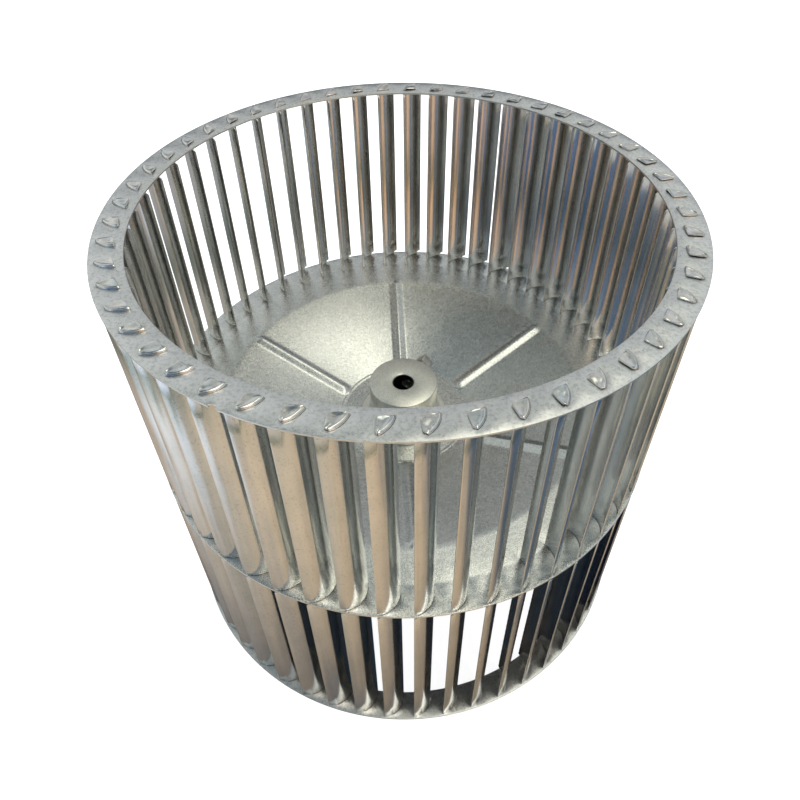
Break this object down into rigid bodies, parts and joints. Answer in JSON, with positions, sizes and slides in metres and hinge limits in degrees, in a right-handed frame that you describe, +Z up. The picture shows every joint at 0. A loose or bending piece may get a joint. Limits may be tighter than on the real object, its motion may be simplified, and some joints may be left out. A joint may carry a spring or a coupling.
{
  "type": "blower motor wheel",
  "caption": "Double-inlet squirrel-cage blower wheel of galvanised steel, with slotted end rings, curved blades, a dished centre disc, and a turned hub with a square-head set screw.",
  "frame": {"origin": "centre of the wheel's underside, on the plane of the lower folded blade tabs", "axes": "+Z is up along the shaft bore, towards the inlet that shows the hub; +X points to the right when the wheel is seen from -Y"},
  "size_m": [0.3, 0.3, 0.2714],
  "materials": {
    "ring_steel": "satin galvanised sheet",
    "blade_steel": "satin galvanised sheet",
    "disc_steel": "satin galvanised sheet, finely speckled",
    "hub_steel": "turned, plated",
    "screw_steel": "zinc plated"
  },
  "bodies": {
    "wheel": {"end_ring_upper": "ring_steel", "end_ring_lower": "ring_steel", "centre_disc": "disc_steel", "hub": "hub_steel", "blade_01": "blade_steel", "blade_02": "blade_steel", "blade_03": "blade_steel", "blade_04": "blade_steel", "blade_05": "blade_steel", "blade_06": "blade_steel", "blade_07": "blade_steel", "blade_08": "blade_steel", "blade_09": "blade_steel", "blade_10": "blade_steel", "blade_11": "blade_steel", "blade_12": "blade_steel", "blade_13": "blade_steel", "blade_14": "blade_steel", "blade_15": "blade_steel", "blade_16": "blade_steel", "blade_17": "blade_steel", "blade_18": "blade_steel", "blade_19": "blade_steel", "blade_20": "blade_steel", "blade_21": "blade_steel", "blade_22": "blade_steel", "blade_23": "blade_steel", "blade_24": "blade_steel", "blade_25": "blade_steel", "blade_26": "blade_steel", "blade_27": "blade_steel", "blade_28": "blade_steel", "blade_29": "blade_steel", "blade_30": "blade_steel", "blade_31": "blade_steel", "blade_32": "blade_steel", "blade_33": "blade_steel", "blade_34": "blade_steel", "blade_35": "blade_steel", "blade_36": "blade_steel", "blade_37": "blade_steel", "blade_38": "blade_steel", "blade_39": "blade_steel", "blade_40": "blade_steel", "blade_41": "blade_steel", "blade_42": "blade_steel", "blade_43": "blade_steel", "blade_44": "blade_steel", "blade_45": "blade_steel", "blade_46": "blade_steel", "blade_47": "blade_steel", "blade_48": "blade_steel", "blade_49": "blade_steel", "blade_50": "blade_steel", "blade_51": "blade_steel", "blade_52": "blade_steel"},
    "set_screw": {"set_screw": "screw_steel"}
  },
  "joints": [
    {"name": "set_screw_slide", "type": "slide", "parent": "wheel", "child": "set_screw", "axis": [0.4695, 0.8829, 0], "range_m": [-0.0015, 0.006]}
  ]
}
